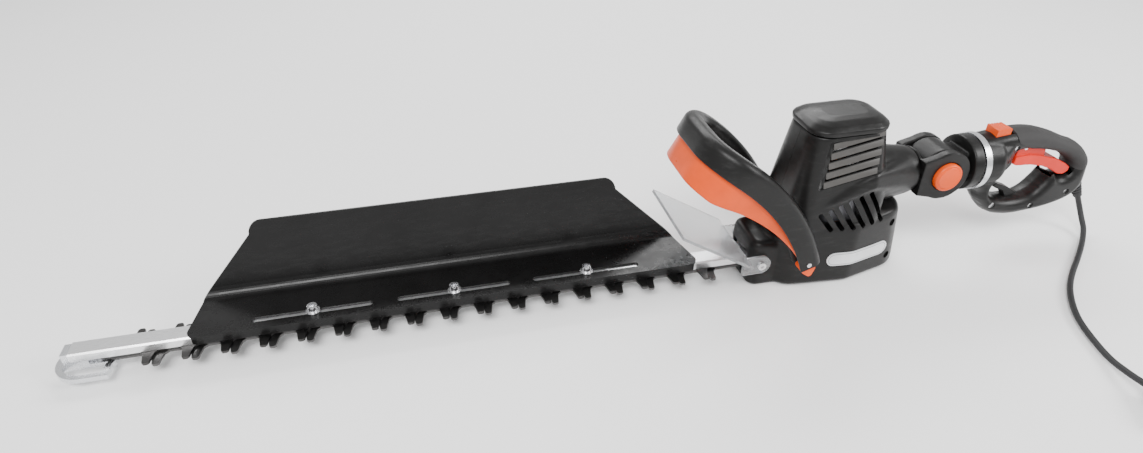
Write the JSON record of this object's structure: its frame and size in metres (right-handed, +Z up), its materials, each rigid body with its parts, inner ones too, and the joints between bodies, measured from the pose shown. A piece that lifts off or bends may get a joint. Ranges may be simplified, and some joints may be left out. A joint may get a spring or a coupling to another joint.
{
  "type": "hedge trimmer",
  "caption": "Electric hedge trimmer with a double-sided reciprocating cutter, clippings collector, clear hand guard, front bow handle and a tilting, swivelling rear handle",
  "frame": {"origin": "on the flat base of the body, under the axis of the upright motor shaft", "axes": "+X runs from the cutter bar towards the rear handle, +Z is up, +Y completes the right-handed frame and points away from the camera side"},
  "size_m": [1.1393, 0.3895, 0.1931],
  "materials": {
    "blade_steel": "ground steel",
    "rail_metal": "mill finish",
    "screw_steel": "zinc plated",
    "tip_plastic": "moulded",
    "sheet_plastic": "satin sheet",
    "cast_metal": "as cast",
    "gear_steel": "machined",
    "bronze": "sintered",
    "lamination": "stacked sheet",
    "copper": "enamelled wire",
    "fan_plastic": "moulded",
    "bearing_steel": "polished",
    "carbon": "pressed graphite",
    "spring_steel": "drawn wire",
    "body_plastic": "satin moulded",
    "cap_plastic": "satin moulded",
    "badge_plate": "smooth",
    "clear_plastic": "clear",
    "orange_plastic": "moulded",
    "red_plastic": "moulded",
    "switch_plastic": "moulded",
    "ring_metal": "silver",
    "cord_rubber": "matt"
  },
  "bodies": {
    "main_body": {"blade_rail": "rail_metal", "blade_screws": "screw_steel", "blade_washers": "screw_steel", "tip_guard": "tip_plastic", "tip_screws": "screw_steel", "collector_bolts": "screw_steel", "collector_washers": "screw_steel", "rail_screws": "screw_steel", "gearbox_housing": "cast_metal", "gearbox_plate": "cast_metal", "gearbox_screws": "screw_steel", "gear_shaft": "gear_steel", "thrust_spacer": "bronze", "lower_bearing": "bearing_steel", "upper_bearing": "bearing_steel", "stator_core": "lamination", "stator_coils": "copper", "bearing_bracket": "cast_metal", "brush_holders": "bronze", "carbon_brushes": "carbon", "brush_springs": "spring_steel", "right_shell": "body_plastic", "left_shell": "body_plastic", "motor_cap": "cap_plastic", "shell_screws": "screw_steel", "badge": "badge_plate", "hand_guard": "clear_plastic", "guard_screws": "screw_steel", "front_bow": "body_plastic", "lever_pins": "screw_steel", "bow_screws": "screw_steel", "front_switch": "switch_plastic", "tilt_fork": "body_plastic", "tilt_pin": "screw_steel"},
    "upper_blade": {"upper_blade": "blade_steel"},
    "lower_blade": {"lower_blade": "blade_steel"},
    "gear": {"drive_gear": "gear_steel"},
    "rotor": {"motor_shaft": "gear_steel", "armature_core": "lamination", "armature_winding": "copper", "commutator": "copper", "cooling_fan": "fan_plastic"},
    "collector": {"collector": "sheet_plastic"},
    "front_lever": {"front_lever": "orange_plastic"},
    "tilt": {"tilt_hub": "body_plastic", "swivel_ring": "ring_metal"},
    "tilt_button": {"tilt_button": "orange_plastic", "tilt_spring": "spring_steel"},
    "handle": {"handle_left": "body_plastic", "handle_right": "body_plastic", "handle_screws": "screw_steel", "trigger_pin": "screw_steel", "main_switch": "switch_plastic", "strain_relief": "cord_rubber", "power_cord": "cord_rubber", "plug": "cord_rubber"},
    "catch": {"rotation_catch": "orange_plastic", "catch_spring": "spring_steel"},
    "trigger": {"trigger": "red_plastic"}
  },
  "joints": [
    {"name": "motor_spin", "type": "hinge", "parent": "main_body", "child": "rotor", "pos_m": [0, 0, 0], "axis": [0, 0, 1], "range_deg": [-350, 910]},
    {"name": "gear_spin", "type": "hinge", "parent": "main_body", "child": "gear", "pos_m": [-0.0384, 0, 0], "axis": [0, 0, 1], "range_deg": [-131, 51]},
    {"name": "upper_blade_stroke", "type": "slide", "parent": "main_body", "child": "upper_blade", "axis": [1, 0, 0], "range_m": [-0.0051, 0.0131]},
    {"name": "lower_blade_stroke", "type": "slide", "parent": "main_body", "child": "lower_blade", "axis": [1, 0, 0], "range_m": [-0.0131, 0.0051]},
    {"name": "collector_slide", "type": "slide", "parent": "main_body", "child": "collector", "axis": [1, 0, 0], "range_m": [-0.05, 0.02]},
    {"name": "front_lever_press", "type": "hinge", "parent": "main_body", "child": "front_lever", "pos_m": [-0.05012, 0, 0.04861], "axis": [0, 1, 0], "range_deg": [0, 2.5], "stiffness_Nm_per_rad": 6, "springref_deg": -2.86},
    {"name": "tilt", "type": "hinge", "parent": "main_body", "child": "tilt", "pos_m": [0.121, 0, 0.11], "axis": [0, 1, 0], "range_deg": [-45, 45]},
    {"name": "tilt_button_press", "type": "slide", "parent": "main_body", "child": "tilt_button", "axis": [0, 1, 0], "range_m": [0, 0.004], "stiffness_N_per_m": 600, "springref_m": -0.002, "deforming": ["tilt_spring"]},
    {"name": "handle_swivel", "type": "hinge", "parent": "tilt", "child": "handle", "pos_m": [0.172, 0, 0.11], "axis": [1, 0, 0], "range_deg": [-90, 90]},
    {"name": "catch_slide", "type": "slide", "parent": "handle", "child": "catch", "axis": [1, 0, 0], "range_m": [0, 0.005], "stiffness_N_per_m": 500, "springref_m": -0.002, "deforming": ["catch_spring"]},
    {"name": "trigger_pull", "type": "hinge", "parent": "handle", "child": "trigger", "pos_m": [0.228, 0, 0.124], "axis": [0, -1, 0], "range_deg": [0, 4], "stiffness_Nm_per_rad": 1, "springref_deg": -5.73}
  ],
  "couplings": [
    {"joint": "gear_spin", "follows": "motor_spin", "ratio": -0.14286},
    {"joint": "upper_blade_stroke", "follows": "motor_spin", "m_per_rad": 0.00081821},
    {"joint": "lower_blade_stroke", "follows": "motor_spin", "m_per_rad": -0.00081821}
  ]
}
